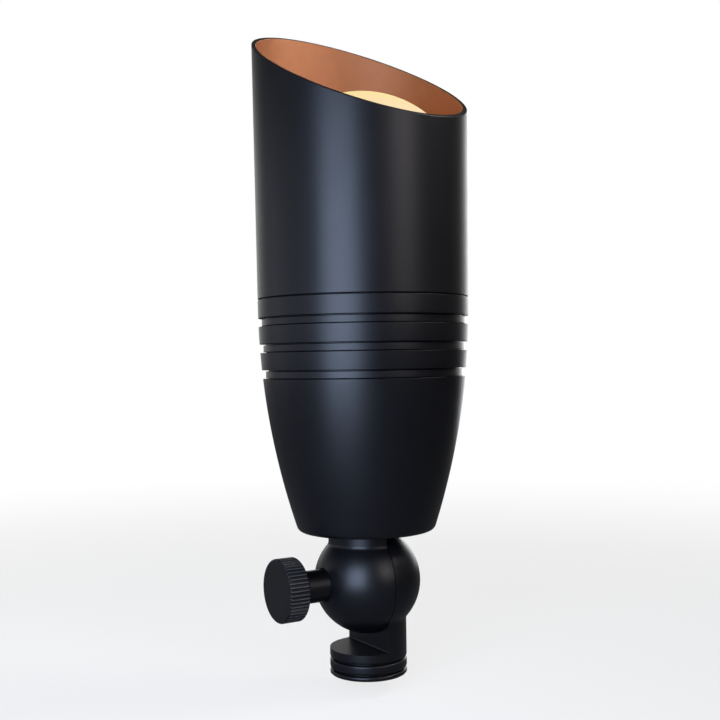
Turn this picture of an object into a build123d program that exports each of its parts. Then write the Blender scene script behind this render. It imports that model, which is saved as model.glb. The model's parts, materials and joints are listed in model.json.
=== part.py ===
from build123d import *
import os
from math import atan, cos, degrees, radians, sin, sqrt, tan

os.makedirs("parts", exist_ok=True)

# Landscape spotlight, millimetres. The vertical axis is Z, the origin is the centre of the mouth of the
# threaded base, the tilt axis lies along X and the thumbscrew stands on the -X side.

# Base, column and ball
pivot_height = 33.4
ball_radius = 19.2
stem_radius = 13.9
base_height = 9.3
base_edge = 0.4
base_groove_count = 2
base_groove_land = 2.8
base_groove_width = 1.0
base_groove_depth = 0.85
base_rib_round = 0.4
supply_thread_radius = 9.6
supply_thread_depth = 7.0
split_gap = 0.1
corner_band = 0.1
neck_fillet = 1.6
tilt_clearance = 0.4

# Hollows inside the ball
boss_radius = 7.6
wire_room_radius = 12.4
wire_room_depth = 8.5
wire_hole_radius = 3.6
wire_hole_offset = 5.6
seal_groove_radius = 15.2
seal_groove_width = 2.0
seal_groove_depth = 1.2
seal_clearance = 0.05
friction_washer_thickness = 1.0

# Thumbscrew
knob_radius = 11.1
knob_thickness = 7.5
knob_chamfer = 0.45
knob_stand = 29.1
knurl_count = 50
knurl_width = 0.65
knurl_depth = 0.45
shoulder_radius = 5.7
shoulder_clearance = 0.3
shoulder_seat = 13.0
clamp_washer_thickness = 1.0
stud_radius = 3.0
stud_clearance = 0.08
stud_hole_clearance = 0.3
stud_reach = 10.0
stud_grip = 10.0
stud_hole_spare = 2.5
stud_chamfer = 0.4

# Housing
head_radius = 38.1
seam_height = 134.8
housing_bottom = 51.6
foot_radius = 24.65
foot_fillet = 2.2
housing_wall = 3.8
floor_thickness = 6.0
groove_count = 3
groove_drop = 6.4
groove_width = 3.1
groove_land = 6.2
groove_depth = 1.25
seam_chamfer = 0.25

# Hood
hood_draft = 0.5
hood_wall = 1.6
hood_shoulder = 2.0
spigot_step = 3.0
spigot_wall = 2.7
spigot_length = 13.0
spigot_clearance = 0.15
mouth_height = 216.5
mouth_tilt = 29.8
mouth_bearing = 93.2
rim_round = 0.35
o_ring_drop = 6.5
o_ring_height = 2.4
o_ring_seat = 1.5
o_ring_clearance = 0.05
o_ring_roundness = 0.45

# Socket plate and lampholder
plate_drop = 16.4
plate_thickness = 2.0
plate_clearance = 0.3
plate_screw_count = 3
plate_boss_radius = 3.8
socket_rise = 11.1
socket_depth = 30.4
socket_wall = 5.7
socket_flange_thickness = 4.0
socket_floor = 4.5
socket_clearance = 0.3
socket_round = 1.2
shell_thickness = 0.5
shell_length = 19.0
tongue_width = 6.0
tongue_thickness = 0.6
tongue_clearance = 2.8
gasket_margin = 1.7

# Small screws
screw_head_radius = 2.7
screw_head_height = 1.9
screw_head_round = 1.1
screw_radius = 1.5
screw_clearance = 0.15
screw_length = 9.0
screw_slot_width = 0.8
screw_slot_depth = 0.9
screw_hood_clearance = 0.9
screw_flange_clearance = 0.5
screw_edge_margin = 0.4
screw_wall_clearance = 0.3

# Lamp
lamp_length = 100.9
lamp_radius = 31.75
lamp_dome_radius = 38.5
lamp_edge_round = 3.0
lamp_widest_drop = 22.0
lamp_wall = 1.2
lamp_foot_overhang = 0.2
lamp_neck_flare = 1.2
lamp_neck_length = 6.0
cap_proud = 2.5
cap_lip_width = 1.1
cap_length = 21.5
cap_wall = 0.5
cap_clearance = 0.2
insulator_height = 3.0
insulator_radius = 8.5
tip_radius = 4.6
tip_height = 0.9
tip_round = 0.6

# Leads
lead_radius = 1.4
lead_spacing = 9.0
lead_sidestep_width = 5.0
lead_room_share = 0.37
lead_bend_share = 0.58
lead_grip = 4.0
connector_room_share = 0.46
connector_mouth_radius = 4.6
connector_tip_radius = 3.0
connector_bore_clearance = 0.1

# Neck fixing
nipple_radius = 10.5
nipple_clearance = 0.15
nipple_bore_radius = 6.5
nipple_web = 1.8
nipple_proud = 2.0
seal_washer_thickness = 1.5
lock_washer_thickness = 1.2
neck_washer_radius = 15.0
locknut_thickness = 5.0
locknut_flats = 26.0
bushing_length = 6.0
bushing_wall = 1.5
bushing_flange_radius = 8.6
bushing_flange_thickness = 1.2
bushing_clearance = 0.1
ground_screw_circle_radius = 18.6

# Heights that follow from the sizes above
ledge_height = seam_height - plate_drop
plate_top = ledge_height + plate_thickness
socket_top = plate_top + socket_rise
socket_bottom = socket_top - socket_depth
cap_top = socket_top + cap_proud
cap_bottom = cap_top - cap_length
tip_top = cap_bottom - insulator_height
tip_bottom = tip_top - tip_height
lamp_apex = tip_bottom + lamp_length
floor_top = housing_bottom + floor_thickness
seal_washer_top = floor_top + seal_washer_thickness
lock_washer_top = seal_washer_top + lock_washer_thickness
locknut_top = lock_washer_top + locknut_thickness
nipple_top = locknut_top + nipple_proud
nipple_bore_floor = pivot_height + ball_radius + tilt_clearance + nipple_web
neck_root = sqrt(ball_radius**2 - stem_radius**2)
o_ring_middle = seam_height - o_ring_drop
wiring_room = socket_bottom - nipple_top - bushing_flange_thickness
lead_drop = wiring_room * lead_room_share
lead_length = lead_drop + lead_grip
lead_bend_radius = lead_drop * lead_bend_share
connector_length = wiring_room * connector_room_share
connector_top = socket_bottom - lead_drop

# Radii that follow from the sizes above
spigot_radius = head_radius - spigot_step
spigot_bore = spigot_radius - spigot_wall
housing_bore = spigot_radius + spigot_clearance
plate_screw_circle_radius = spigot_bore - screw_head_radius - screw_hood_clearance
socket_flange_radius = plate_screw_circle_radius - screw_head_radius - screw_flange_clearance
socket_screw_circle_radius = socket_flange_radius - screw_head_radius - screw_edge_margin
socket_radius = socket_screw_circle_radius - screw_head_radius - screw_wall_clearance
gasket_radius = socket_radius - gasket_margin
socket_bore = socket_radius - socket_wall
shell_inner = socket_bore - shell_thickness
cap_radius = shell_inner - cap_clearance
cap_lip_radius = cap_radius + cap_lip_width
lamp_foot_radius = cap_lip_radius + lamp_foot_overhang
lamp_neck_radius = lamp_foot_radius + lamp_neck_flare
tongue_reach = socket_bore - tongue_clearance
wire_room_middle = (boss_radius + wire_room_radius) / 2
flank_drop = seam_height - housing_bottom
flank_inset = head_radius - foot_radius
flank_radius = (flank_drop**2 + flank_inset**2) / (2 * flank_inset)
shoulder_end = shoulder_seat + clamp_washer_thickness

head_side = Plane.YZ.offset(-split_gap / 2)
stem_side = Plane.YZ.offset(split_gap / 2)


def flank(height, inset=0.0):
    """Radius of the curved flank of the housing at a height, or of a curve inset from it."""
    return head_radius - flank_radius + sqrt((flank_radius - inset) ** 2 - (seam_height - height) ** 2)


def across_pivot(distance, facing):
    """Plane square to the tilt axis, at a distance along X, facing +X (1) or -X (-1)."""
    return Plane(origin=(distance, 0, pivot_height), x_dir=(0, facing, 0), z_dir=(facing, 0, 0))


def corners_at(profile, height):
    """Corners of an open profile that lie at a height."""
    return profile.vertices().filter_by_position(Axis.Y, height - corner_band, height + corner_band)


def ring(inner, outer):
    """Flat ring, drawn into the sketch that is open."""
    Circle(outer)
    Circle(inner, mode=Mode.SUBTRACT)


def finish(builder, name):
    """Label a finished piece and write it."""
    builder.part.label = name
    export_step(builder.part, f"parts/{name}.step")


# Stem half of the knuckle: half ball, half column and the round ribbed base
with BuildPart() as knuckle_stem_half:
    with BuildSketch(Plane.XZ) as column_profile:
        with Locations((0, pivot_height)):
            Circle(ball_radius)
        with Locations((0, pivot_height / 2)):
            Rectangle(2 * stem_radius, pivot_height)
        fillet(corners_at(column_profile, pivot_height - neck_root), neck_fillet)
        split(bisect_by=Plane.YZ, keep=Keep.TOP)
    revolve(axis=Axis.Z)
    split(bisect_by=stem_side, keep=Keep.TOP)
    with BuildSketch(Plane.XY):
        Circle(stem_radius)
    extrude(amount=base_height)
    chamfer(knuckle_stem_half.faces().sort_by(Axis.Z)[0].edges(), base_edge)
    for index in range(base_groove_count):
        groove_top = base_height - base_groove_land - index * (base_groove_land + base_groove_width)
        with BuildSketch(Plane.XY.offset(groove_top - base_groove_width)):
            ring(stem_radius - base_groove_depth, stem_radius + base_groove_depth)
        extrude(amount=base_groove_width, mode=Mode.SUBTRACT)
        groove_edges = knuckle_stem_half.edges().filter_by(GeomType.CIRCLE).filter_by_position(
            Axis.Z, groove_top - base_groove_width - corner_band, groove_top + corner_band
        )
        fillet(groove_edges.group_by(lambda edge: edge.radius)[-1], base_rib_round)
    with BuildSketch(Plane.XY):
        Circle(supply_thread_radius)
    extrude(amount=supply_thread_depth, mode=Mode.SUBTRACT)
    with BuildSketch(stem_side):
        with Locations((0, pivot_height)):
            ring(boss_radius, wire_room_radius)
    extrude(amount=wire_room_depth, mode=Mode.SUBTRACT)
    with BuildSketch(Plane.XY.offset(supply_thread_depth)):
        with Locations((wire_hole_offset, 0)):
            Circle(wire_hole_radius)
    extrude(amount=pivot_height - wire_room_middle - supply_thread_depth, mode=Mode.SUBTRACT)
    with BuildSketch(stem_side):
        with Locations((0, pivot_height)):
            ring(seal_groove_radius - seal_groove_width / 2, seal_groove_radius + seal_groove_width / 2)
    extrude(amount=seal_groove_depth, mode=Mode.SUBTRACT)
    with BuildSketch(stem_side):
        with Locations((0, pivot_height)):
            Circle(boss_radius)
    extrude(amount=friction_washer_thickness - split_gap / 2, mode=Mode.SUBTRACT)
    with Locations(across_pivot(split_gap / 2, -1)):
        Hole(stud_radius + stud_clearance, depth=stud_reach + stud_hole_spare)
finish(knuckle_stem_half, "knuckle_stem_half")

# Friction washer between the two bosses of the ball
with BuildPart() as friction_washer:
    with BuildSketch(across_pivot(friction_washer_thickness, -1)):
        ring(stud_radius + stud_hole_clearance, boss_radius - seal_clearance)
    extrude(amount=friction_washer_thickness + split_gap / 4)
finish(friction_washer, "friction_washer")

# Ring seal in the split face of the ball
with BuildPart() as knuckle_seal:
    with BuildSketch(across_pivot(split_gap / 2 + seal_groove_depth, -1)):
        ring(
            seal_groove_radius - seal_groove_width / 2 + seal_clearance,
            seal_groove_radius + seal_groove_width / 2 - seal_clearance,
        )
    extrude(amount=seal_groove_depth + split_gap / 2)
finish(knuckle_seal, "knuckle_seal")

# Room that the stem's half ball turns in, under the nipple of the head half
with BuildPart() as stem_ball_room:
    with Locations((0, 0, pivot_height)):
        Sphere(ball_radius + tilt_clearance)
    split(bisect_by=head_side, keep=Keep.TOP)

# Head half of the knuckle: half ball, half neck and a hollow nipple through the floor of the housing
with BuildPart() as knuckle_head_half:
    with BuildSketch(Plane.XZ) as neck_profile:
        with Locations((0, pivot_height)):
            Circle(ball_radius)
        with Locations((0, (pivot_height + housing_bottom) / 2)):
            Rectangle(2 * stem_radius, housing_bottom - pivot_height)
        fillet(corners_at(neck_profile, pivot_height + neck_root), neck_fillet)
        split(bisect_by=Plane.YZ, keep=Keep.TOP)
    revolve(axis=Axis.Z)
    split(bisect_by=head_side, keep=Keep.BOTTOM)
    with BuildSketch(Plane.XY.offset(housing_bottom)):
        Circle(nipple_radius)
    extrude(amount=nipple_top - housing_bottom)
    add(stem_ball_room.part, mode=Mode.SUBTRACT)
    with BuildSketch(Plane.XY.offset(nipple_bore_floor)):
        Circle(nipple_bore_radius)
    extrude(amount=nipple_top - nipple_bore_floor, mode=Mode.SUBTRACT)
    with BuildSketch(head_side):
        with Locations((0, pivot_height)):
            ring(boss_radius, wire_room_radius)
    extrude(amount=-wire_room_depth, mode=Mode.SUBTRACT)
    with BuildSketch(Plane.XY.offset(pivot_height + wire_room_middle)):
        with Locations((-wire_hole_offset, 0)):
            Circle(wire_hole_radius)
    extrude(amount=nipple_bore_floor - pivot_height - wire_room_middle, mode=Mode.SUBTRACT)
    with Locations(across_pivot(-ball_radius, -1)):
        CounterBoreHole(
            radius=stud_radius + stud_hole_clearance,
            counter_bore_radius=shoulder_radius + shoulder_clearance,
            counter_bore_depth=ball_radius - shoulder_seat,
            depth=ball_radius,
        )
finish(knuckle_head_half, "knuckle_head_half")

# Knob of the thumbscrew, with its thick shoulder and a straight knurl
with BuildPart() as thumbscrew_knob:
    with BuildSketch(across_pivot(-knob_stand, -1)):
        Circle(knob_radius)
    extrude(amount=knob_thickness)
    chamfer(thumbscrew_knob.edges().filter_by(GeomType.CIRCLE), knob_chamfer)
    with BuildSketch(across_pivot(-knob_stand, -1)):
        with PolarLocations(knob_radius, knurl_count):
            Rectangle(2 * knurl_depth, knurl_width)
    extrude(amount=knob_thickness, mode=Mode.SUBTRACT)
    with BuildSketch(across_pivot(-shoulder_end, -1)):
        Circle(shoulder_radius)
    extrude(amount=knob_stand - shoulder_end)
    with BuildSketch(across_pivot(-shoulder_end, -1)):
        Circle(stud_radius)
    extrude(amount=stud_grip, mode=Mode.SUBTRACT)
finish(thumbscrew_knob, "thumbscrew_knob")

# Stud of the thumbscrew
with BuildPart() as thumbscrew_stud:
    with BuildSketch(across_pivot(stud_reach, -1)):
        Circle(stud_radius)
    extrude(amount=stud_reach + shoulder_end + stud_grip)
    chamfer(thumbscrew_stud.faces().sort_by(Axis.X)[-1].edges(), stud_chamfer)
finish(thumbscrew_stud, "thumbscrew_stud")

# Captive washer under the shoulder of the thumbscrew
with BuildPart() as clamp_washer:
    with BuildSketch(across_pivot(-shoulder_seat, -1)):
        ring(stud_radius + stud_clearance, shoulder_radius)
    extrude(amount=clamp_washer_thickness)
finish(clamp_washer, "clamp_washer")

# Inside of the housing, with the three screw bosses left standing on its wall
with BuildPart() as housing_inside:
    with BuildSketch(Plane.XZ):
        with BuildLine():
            floor_line = Line((0, floor_top), (flank(floor_top, housing_wall), floor_top))
            wall_arc = RadiusArc(
                floor_line @ 1,
                (flank(ledge_height, housing_wall), ledge_height),
                housing_wall - flank_radius,
            )
            Polyline(wall_arc @ 1, (0, ledge_height), (0, floor_top))
        make_face()
    revolve(axis=Axis.Z)
    with BuildSketch(Plane.XY.offset(floor_top)):
        with PolarLocations(plate_screw_circle_radius, plate_screw_count):
            Circle(plate_boss_radius)
            Rectangle(head_radius, 2 * plate_boss_radius, align=(Align.MIN, Align.CENTER))
    extrude(amount=ledge_height - floor_top, mode=Mode.SUBTRACT)

# Housing: tapered casting with three cooling grooves
with BuildPart() as housing:
    with BuildSketch(Plane.XZ) as housing_profile:
        with BuildLine():
            bottom_line = Line((0, housing_bottom), (foot_radius, housing_bottom))
            flank_arc = RadiusArc(bottom_line @ 1, (head_radius, seam_height), -flank_radius)
            Polyline(flank_arc @ 1, (0, seam_height), (0, housing_bottom))
        make_face()
        fillet(housing_profile.vertices().sort_by(Axis.Y).sort_by(Axis.X)[-2:-1], foot_fillet)
    revolve(axis=Axis.Z)
    chamfer(housing.faces().sort_by(Axis.Z)[-1].edges(), seam_chamfer)
    for index in range(groove_count):
        groove_top = seam_height - groove_drop - index * (groove_width + groove_land)
        groove_floor = flank(groove_top - groove_width / 2) - groove_depth
        with BuildSketch(Plane.XY.offset(groove_top - groove_width)):
            ring(groove_floor, head_radius + groove_depth)
        extrude(amount=groove_width, mode=Mode.SUBTRACT)
    add(housing_inside.part, mode=Mode.SUBTRACT)
    with BuildSketch(Plane.XY.offset(ledge_height)):
        Circle(housing_bore)
    extrude(amount=seam_height - ledge_height, mode=Mode.SUBTRACT)
    with BuildSketch(Plane.XY.offset(housing_bottom)):
        Circle(nipple_radius + nipple_clearance)
    extrude(amount=floor_thickness, mode=Mode.SUBTRACT)
    with BuildSketch(Plane.XY.offset(ledge_height)):
        with PolarLocations(plate_screw_circle_radius, plate_screw_count):
            Circle(screw_radius)
    extrude(amount=-screw_length, mode=Mode.SUBTRACT)
    with BuildSketch(Plane.XY.offset(floor_top)):
        with Locations((ground_screw_circle_radius, 0)):
            Circle(screw_radius)
    extrude(amount=-floor_thickness / 2, mode=Mode.SUBTRACT)
finish(housing, "housing")

# Hood: drafted tube on a spigot, cut on a slant at its mouth
with BuildPart() as glare_hood:
    hood_growth = tan(radians(hood_draft))
    blank_top = mouth_height + head_radius
    blank_rise = blank_top - seam_height
    tube_radius = head_radius - hood_wall
    cone_rise = tube_radius - spigot_bore
    with BuildSketch(Plane.XZ) as hood_profile:
        with BuildLine():
            Polyline(
                (spigot_bore, seam_height - spigot_length),
                (spigot_radius, seam_height - spigot_length),
                (spigot_radius, seam_height),
                (head_radius, seam_height),
                (head_radius + blank_rise * hood_growth, blank_top),
                (tube_radius + blank_rise * hood_growth, blank_top),
                (
                    tube_radius + (hood_shoulder + cone_rise) * hood_growth,
                    seam_height + hood_shoulder + cone_rise,
                ),
                (spigot_bore, seam_height + hood_shoulder),
                close=True,
            )
        make_face()
        chamfer(corners_at(hood_profile, seam_height).sort_by(Axis.X)[-1], seam_chamfer)
    revolve(axis=Axis.Z)
    with BuildSketch(Plane.XY.offset(o_ring_middle - o_ring_height / 2)):
        ring(spigot_radius - o_ring_seat, spigot_radius + spigot_clearance)
    extrude(amount=o_ring_height, mode=Mode.SUBTRACT)
    slope = tan(radians(mouth_tilt))
    mouth_plane = Plane(
        origin=(0, 0, mouth_height),
        z_dir=(-slope * cos(radians(mouth_bearing)), -slope * sin(radians(mouth_bearing)), 1),
    )
    split(bisect_by=mouth_plane, keep=Keep.BOTTOM)
    rim = glare_hood.faces().filter_by(GeomType.PLANE).sort_by(Axis.Z)[-1]
    fillet(rim.edges(), rim_round)
finish(glare_hood, "glare_hood")

# Sealing ring in the groove of the spigot, in its squeezed section
with BuildPart() as hood_o_ring:
    ring_inner = spigot_radius - o_ring_seat + o_ring_clearance
    ring_outer = housing_bore - o_ring_clearance
    ring_thickness = ring_outer - ring_inner
    with BuildSketch(Plane.XZ):
        with Locations(((ring_inner + ring_outer) / 2, o_ring_middle)):
            RectangleRounded(
                ring_thickness,
                o_ring_height - 2 * o_ring_clearance,
                ring_thickness * o_ring_roundness,
            )
    revolve(axis=Axis.Z)
finish(hood_o_ring, "hood_o_ring")

# Round plate that carries the lampholder
with BuildPart() as socket_plate:
    with BuildSketch(Plane.XY.offset(ledge_height)):
        ring(socket_radius + socket_clearance, housing_bore - plate_clearance)
        with PolarLocations(plate_screw_circle_radius, plate_screw_count):
            Circle(screw_radius + screw_clearance, mode=Mode.SUBTRACT)
        with PolarLocations(socket_screw_circle_radius, 2):
            Circle(screw_radius, mode=Mode.SUBTRACT)
    extrude(amount=plate_thickness)
finish(socket_plate, "socket_plate")

# Slotted pan-head screw, standing on its head's seat at the origin
with BuildPart() as small_screw:
    with BuildSketch(Plane.XY):
        Circle(screw_head_radius)
    extrude(amount=screw_head_height)
    fillet(small_screw.faces().sort_by(Axis.Z)[-1].edges(), screw_head_round)
    with BuildSketch(Plane.XY.offset(screw_head_height - screw_slot_depth)):
        Rectangle(3 * screw_head_radius, screw_slot_width)
    extrude(amount=screw_slot_depth, mode=Mode.SUBTRACT)
    with BuildSketch(Plane.XY):
        Circle(screw_radius)
    extrude(amount=-(screw_length - plate_thickness))

# Screws of the plate
with BuildPart() as socket_plate_screws:
    with Locations((0, 0, plate_top)):
        with PolarLocations(plate_screw_circle_radius, plate_screw_count):
            add(small_screw.part)
finish(socket_plate_screws, "socket_plate_screws")

# Porcelain lampholder
with BuildPart() as socket_body:
    with BuildSketch(Plane.XY.offset(socket_bottom)):
        Circle(socket_radius)
    extrude(amount=socket_depth)
    fillet(socket_body.faces().sort_by(Axis.Z)[-1].edges(), socket_round)
    with BuildSketch(Plane.XY.offset(plate_top)):
        Circle(socket_flange_radius)
    extrude(amount=socket_flange_thickness)
    with BuildSketch(Plane.XY.offset(socket_bottom + socket_floor)):
        Circle(socket_bore)
    extrude(amount=socket_depth - socket_floor, mode=Mode.SUBTRACT)
    with BuildSketch(Plane.XY.offset(plate_top)):
        with PolarLocations(socket_screw_circle_radius, 2):
            Circle(screw_radius + screw_clearance)
    extrude(amount=socket_flange_thickness, mode=Mode.SUBTRACT)
    with BuildSketch(Plane.XY.offset(socket_bottom)):
        with PolarLocations(lead_spacing, 2, start_angle=90):
            Circle(lead_radius)
    extrude(amount=socket_floor, mode=Mode.SUBTRACT)
finish(socket_body, "socket_body")

# Screws of the lampholder
with BuildPart() as socket_screws:
    with Locations((0, 0, plate_top + socket_flange_thickness)):
        with PolarLocations(socket_screw_circle_radius, 2):
            add(small_screw.part)
finish(socket_screws, "socket_screws")

# Contact shell of the lampholder
with BuildPart() as socket_shell:
    with BuildSketch(Plane.XY.offset(socket_top - cap_proud - shell_length)):
        ring(shell_inner, socket_bore)
    extrude(amount=shell_length)
finish(socket_shell, "socket_shell")

# Spring tongue that meets the tip of the lamp
with BuildPart() as socket_contact:
    tongue_base = socket_bottom + socket_floor
    with BuildSketch(Plane.XZ):
        with BuildLine() as tongue_line:
            Polyline(
                (-tongue_reach, tongue_base + tongue_thickness / 2),
                (-tongue_reach / 2, tongue_base + tongue_thickness / 2),
                (-tip_radius / 2, tip_bottom - tongue_thickness / 2),
                (tip_radius, tip_bottom - tongue_thickness / 2),
            )
        trace(tongue_line.line, tongue_thickness)
    extrude(amount=tongue_width / 2, both=True)
finish(socket_contact, "socket_contact")

# Gasket between the rim of the lampholder and the lip of the lamp's cap
with BuildPart() as lamp_gasket:
    with BuildSketch(Plane.XY.offset(socket_top)):
        ring(shell_inner, gasket_radius)
    extrude(amount=cap_proud - cap_wall)
finish(lamp_gasket, "lamp_gasket")

# Screw cap of the lamp
with BuildPart() as lamp_cap:
    with BuildSketch(Plane.XY.offset(cap_bottom)):
        Circle(cap_radius)
    extrude(amount=cap_length)
    with BuildSketch(Plane.XY.offset(cap_top - cap_wall)):
        Circle(cap_lip_radius)
    extrude(amount=cap_wall)
    with BuildSketch(Plane.XY.offset(cap_bottom + cap_wall)):
        Circle(cap_radius - cap_wall)
    extrude(amount=cap_length - cap_wall, mode=Mode.SUBTRACT)
    with BuildSketch(Plane.XY.offset(cap_bottom)):
        Circle(insulator_radius / 2)
    extrude(amount=cap_wall, mode=Mode.SUBTRACT)
finish(lamp_cap, "lamp_cap")

# Insulator of the cap
with BuildPart() as lamp_insulator:
    with BuildSketch(Plane.XZ):
        with BuildLine():
            Polyline(
                (0, tip_top),
                (tip_radius, tip_top),
                (insulator_radius, cap_bottom),
                (0, cap_bottom),
                close=True,
            )
        make_face()
    revolve(axis=Axis.Z)
finish(lamp_insulator, "lamp_insulator")

# End contact of the lamp
with BuildPart() as lamp_tip:
    with BuildSketch(Plane.XY.offset(tip_bottom)):
        Circle(tip_radius)
    extrude(amount=tip_height)
    fillet(lamp_tip.faces().sort_by(Axis.Z)[0].edges(), tip_round)
finish(lamp_tip, "lamp_tip")

# Glass envelope of the lamp: frosted dome over a flared neck, open where the cap closes it
with BuildPart() as lamp_envelope:
    dome_centre = lamp_apex - lamp_dome_radius
    dome_edge = dome_centre + sqrt(lamp_dome_radius**2 - lamp_radius**2)
    widest = lamp_apex - lamp_widest_drop
    with BuildSketch(Plane.XZ) as envelope_profile:
        with BuildLine():
            foot = Line((0, cap_top), (lamp_foot_radius, cap_top))
            neck = Line(foot @ 1, (lamp_neck_radius, cap_top + lamp_neck_length))
            flare = TangentArc((lamp_radius, widest), neck @ 1, tangent=(0, -1))
            side = Line((lamp_radius, widest), (lamp_radius, dome_edge))
            dome = RadiusArc(side @ 1, (0, lamp_apex), -lamp_dome_radius)
            Line(dome @ 1, foot @ 0)
        make_face()
        fillet(corners_at(envelope_profile, dome_edge), lamp_edge_round)
    revolve(axis=Axis.Z)
    offset(amount=-lamp_wall, openings=lamp_envelope.faces().sort_by(Axis.Z)[0])
finish(lamp_envelope, "lamp_envelope")

# Route of one lead: down out of the lampholder, outwards and down again, in the plane Y-Z
lead_half = lead_drop / 2
lead_route = [
    (lead_spacing, socket_bottom + socket_floor),
    (lead_spacing, socket_bottom - lead_half / 2),
    (lead_spacing + lead_sidestep_width, socket_bottom - lead_half / 2 - lead_half),
    (lead_spacing + lead_sidestep_width, socket_bottom - lead_length),
]

# One lead of the lampholder
with BuildPart() as lead:
    with BuildLine(Plane.YZ) as lead_path:
        FilletPolyline(*lead_route, radius=lead_bend_radius)
    with BuildSketch(Plane.XY.offset(socket_bottom + socket_floor)):
        with Locations((0, lead_spacing)):
            Circle(lead_radius)
    sweep(path=lead_path.wires()[0])

# Live lead
with BuildPart() as lead_line:
    add(lead.part)
finish(lead_line, "lead_line")

# Neutral lead, on the other side
with BuildPart() as lead_neutral:
    add(lead.part, rotation=(0, 0, 180))
finish(lead_neutral, "lead_neutral")

# Twist-on connectors at the ends of the leads
with BuildPart() as wire_connectors:
    connector_taper = degrees(atan((connector_mouth_radius - connector_tip_radius) / connector_length))
    with BuildSketch(Plane.XY.offset(connector_top)):
        with PolarLocations(lead_spacing + lead_sidestep_width, 2, start_angle=90):
            Circle(connector_mouth_radius)
    extrude(amount=-connector_length, taper=connector_taper)
    with BuildSketch(Plane.XY.offset(connector_top)):
        with PolarLocations(lead_spacing + lead_sidestep_width, 2, start_angle=90):
            Circle(lead_radius + connector_bore_clearance)
    extrude(amount=-lead_grip, mode=Mode.SUBTRACT)
finish(wire_connectors, "wire_connectors")

# Rubber washer on the floor of the housing
with BuildPart() as neck_seal_washer:
    with BuildSketch(Plane.XY.offset(floor_top)):
        ring(nipple_radius + nipple_clearance, neck_washer_radius)
    extrude(amount=seal_washer_thickness)
finish(neck_seal_washer, "neck_seal_washer")

# Spring lock washer, with its cut
with BuildPart() as neck_lock_washer:
    with BuildSketch(Plane.XY.offset(seal_washer_top)):
        ring(nipple_radius + nipple_clearance, neck_washer_radius - seal_washer_thickness)
        Rectangle(
            neck_washer_radius,
            lock_washer_thickness,
            align=(Align.MIN, Align.CENTER),
            mode=Mode.SUBTRACT,
        )
    extrude(amount=lock_washer_thickness)
finish(neck_lock_washer, "neck_lock_washer")

# Locknut on the nipple
with BuildPart() as neck_locknut:
    with BuildSketch(Plane.XY.offset(lock_washer_top)):
        RegularPolygon(locknut_flats / 2, 6, major_radius=False)
        Circle(nipple_radius + nipple_clearance, mode=Mode.SUBTRACT)
    extrude(amount=locknut_thickness)
finish(neck_locknut, "neck_locknut")

# Bushing in the mouth of the nipple
with BuildPart() as wire_bushing:
    bushing_radius = nipple_bore_radius - bushing_clearance
    with BuildSketch(Plane.XY.offset(nipple_top - bushing_length)):
        Circle(bushing_radius)
    extrude(amount=bushing_length)
    with BuildSketch(Plane.XY.offset(nipple_top)):
        Circle(bushing_flange_radius)
    extrude(amount=bushing_flange_thickness)
    fillet(wire_bushing.faces().sort_by(Axis.Z)[-1].edges(), bushing_flange_thickness / 2)
    with BuildSketch(Plane.XY.offset(nipple_top - bushing_length)):
        Circle(bushing_radius - bushing_wall)
    extrude(amount=bushing_length + bushing_flange_thickness, mode=Mode.SUBTRACT)
finish(wire_bushing, "wire_bushing")

# Earth screw in the floor of the housing
with BuildPart() as ground_screw:
    with BuildSketch(Plane.XY.offset(floor_top)):
        with Locations((ground_screw_circle_radius, 0)):
            RegularPolygon(screw_head_radius, 6)
    extrude(amount=screw_head_height)
    with BuildSketch(Plane.XY.offset(floor_top)):
        with Locations((ground_screw_circle_radius, 0)):
            Circle(screw_radius)
    extrude(amount=-floor_thickness / 2)
finish(ground_screw, "ground_screw")
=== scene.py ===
# %% [markdown]
# # Landscape spotlight
# The imported CAD model is the fixed frame of this scene: every piece made here sits where the frame says,
# in metres, and moves with one of its bodies. The CAD solids already have the main shapes, so this lesson
# adds what they don't hold: rounded edges, fine reliefs and fillets, a cut thread, a knurl with worn crests
# and a painted highlight on them, and the finishes. Five black pieces are modelled anew, and the others
# keep their CAD mesh.

# %% Load the frame
import json
from math import atan2, cos, pi, radians, sin, sqrt, tan

import bpy
from mathutils import Matrix, Vector


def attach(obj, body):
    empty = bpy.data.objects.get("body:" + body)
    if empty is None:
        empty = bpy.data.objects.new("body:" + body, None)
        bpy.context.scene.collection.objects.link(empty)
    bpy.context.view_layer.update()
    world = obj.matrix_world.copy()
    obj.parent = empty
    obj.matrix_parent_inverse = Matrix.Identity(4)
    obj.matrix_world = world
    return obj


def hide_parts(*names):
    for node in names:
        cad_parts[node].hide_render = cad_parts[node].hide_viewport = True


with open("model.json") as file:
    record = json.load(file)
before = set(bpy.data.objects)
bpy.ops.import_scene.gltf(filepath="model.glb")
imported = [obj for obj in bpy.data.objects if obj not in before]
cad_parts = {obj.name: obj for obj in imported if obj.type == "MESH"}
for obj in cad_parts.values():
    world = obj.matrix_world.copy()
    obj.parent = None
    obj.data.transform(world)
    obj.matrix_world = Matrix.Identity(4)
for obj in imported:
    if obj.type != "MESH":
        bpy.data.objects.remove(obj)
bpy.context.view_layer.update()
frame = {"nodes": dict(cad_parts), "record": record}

MM = 0.001

# %% [markdown]
# ## Camera
# The photograph was taken from close by, level with the grooves, from the side that shows the thumbscrew
# to the left. An azimuth of 0 looks along +Y, and a negative one moves the camera to the left. The camera
# has a slight roll, which a photographer would call a tilted horizon.

# %% Camera
VIEW_AZIMUTH = radians(-31.0)
CAMERA_DISTANCE = 384.8 * MM
CAMERA_HEIGHT = 112.96 * MM
CAMERA_SIDESTEP = -1.4 * MM
CAMERA_ROLL = radians(-0.9)
CAMERA_LENS, SENSOR_WIDTH = 52.97, 36.0
CLIP_START = 10 * MM


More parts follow.
